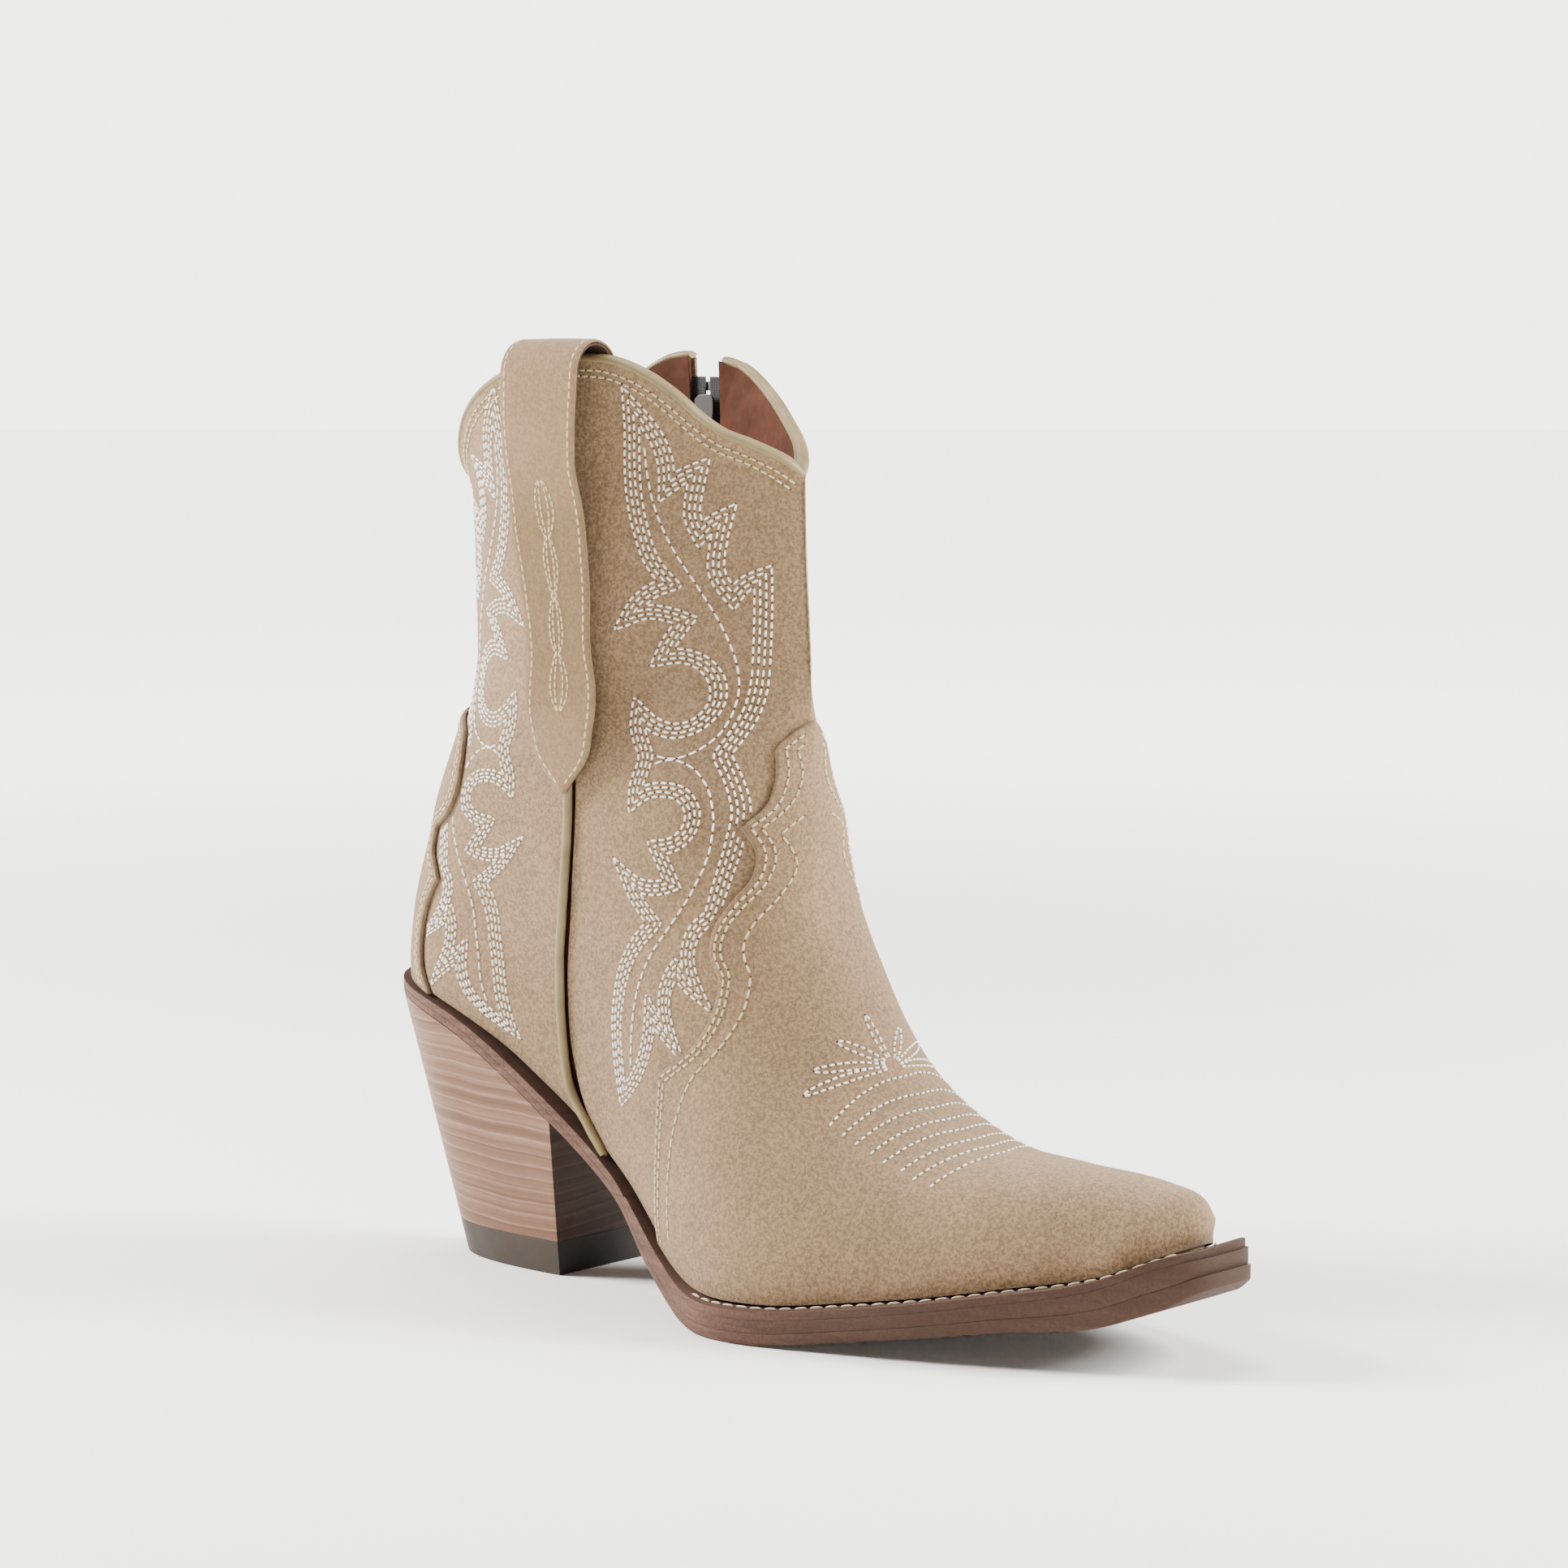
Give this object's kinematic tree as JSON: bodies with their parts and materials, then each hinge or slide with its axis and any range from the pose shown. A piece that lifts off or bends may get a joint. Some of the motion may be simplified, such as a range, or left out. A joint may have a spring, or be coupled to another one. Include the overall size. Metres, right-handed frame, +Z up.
{
  "type": "cowboy boot",
  "caption": "Suede western ankle boot for the right foot, with embroidered scalloped panels, a pull strap, a stacked heel and an inside zip",
  "frame": {"origin": "on the ground, at the middle of the heel's bottom face", "axes": "+X to the toe, +Y to the inner side of the leg, +Z up"},
  "size_m": [0.2625, 0.0976, 0.248],
  "materials": {
    "suede": "napped suede, beige, embroidered",
    "strap_suede": "napped suede, lighter beige",
    "piping_leather": "smooth leather, olive beige, satin",
    "lining_leather": "smooth lining leather, tan",
    "sock_leather": "smooth leather, tan",
    "stacked_leather": "burnished edge, brown",
    "sole_leather": "waxed edge, brown",
    "welt_leather": "waxed edge, brown",
    "top_lift_rubber": "dark, matt",
    "fibre_board": "pressed fibre, matt",
    "cork": "granular cork, matt",
    "steel": "bare",
    "gunmetal": "dark, satin",
    "zip_tape": "woven, dark"
  },
  "bodies": {
    "boot": {"bottom_filler": "cork", "counter_overlay": "suede", "heel_lift_01": "stacked_leather", "heel_lift_02": "stacked_leather", "heel_lift_03": "stacked_leather", "heel_lift_04": "stacked_leather", "heel_lift_05": "stacked_leather", "heel_lift_06": "stacked_leather", "heel_lift_07": "stacked_leather", "heel_lift_08": "stacked_leather", "heel_lift_09": "stacked_leather", "heel_lift_10": "stacked_leather", "heel_nail_1": "steel", "heel_nail_2": "steel", "heel_nail_3": "steel", "heel_nail_4": "steel", "heel_nail_5": "steel", "heel_screw": "steel", "heel_stiffener": "fibre_board", "insole_board": "fibre_board", "lining_back": "lining_leather", "lining_front": "lining_leather", "midsole": "sole_leather", "outsole": "sole_leather", "pull_strap": "strap_suede", "shaft_back": "suede", "shaft_front": "suede", "side_piping_inner": "piping_leather", "side_piping_outer": "piping_leather", "sock_liner": "sock_leather", "steel_shank": "steel", "toe_puff": "fibre_board", "top_lift": "top_lift_rubber", "topline_piping": "piping_leather", "vamp": "suede", "welt": "welt_leather", "zip_bottom_stop": "gunmetal", "zip_tape_back": "zip_tape", "zip_tape_front": "zip_tape", "zip_teeth_back": "gunmetal", "zip_teeth_front": "gunmetal", "zip_top_stop_back": "gunmetal", "zip_top_stop_front": "gunmetal"},
    "slider": {"zip_slider": "gunmetal"},
    "pull": {"zip_pull": "gunmetal"}
  },
  "joints": [
    {"name": "zip_slide", "type": "slide", "parent": "boot", "child": "slider", "axis": [0.0541, -0.0205, -0.9983], "range_m": [0, 0.1025]},
    {"name": "pull_hinge", "type": "hinge", "parent": "slider", "child": "pull", "pos_m": [0.03337, 0.03787, 0.2291], "axis": [0.9985, 0, 0.0541], "range_deg": [0, 170]}
  ]
}
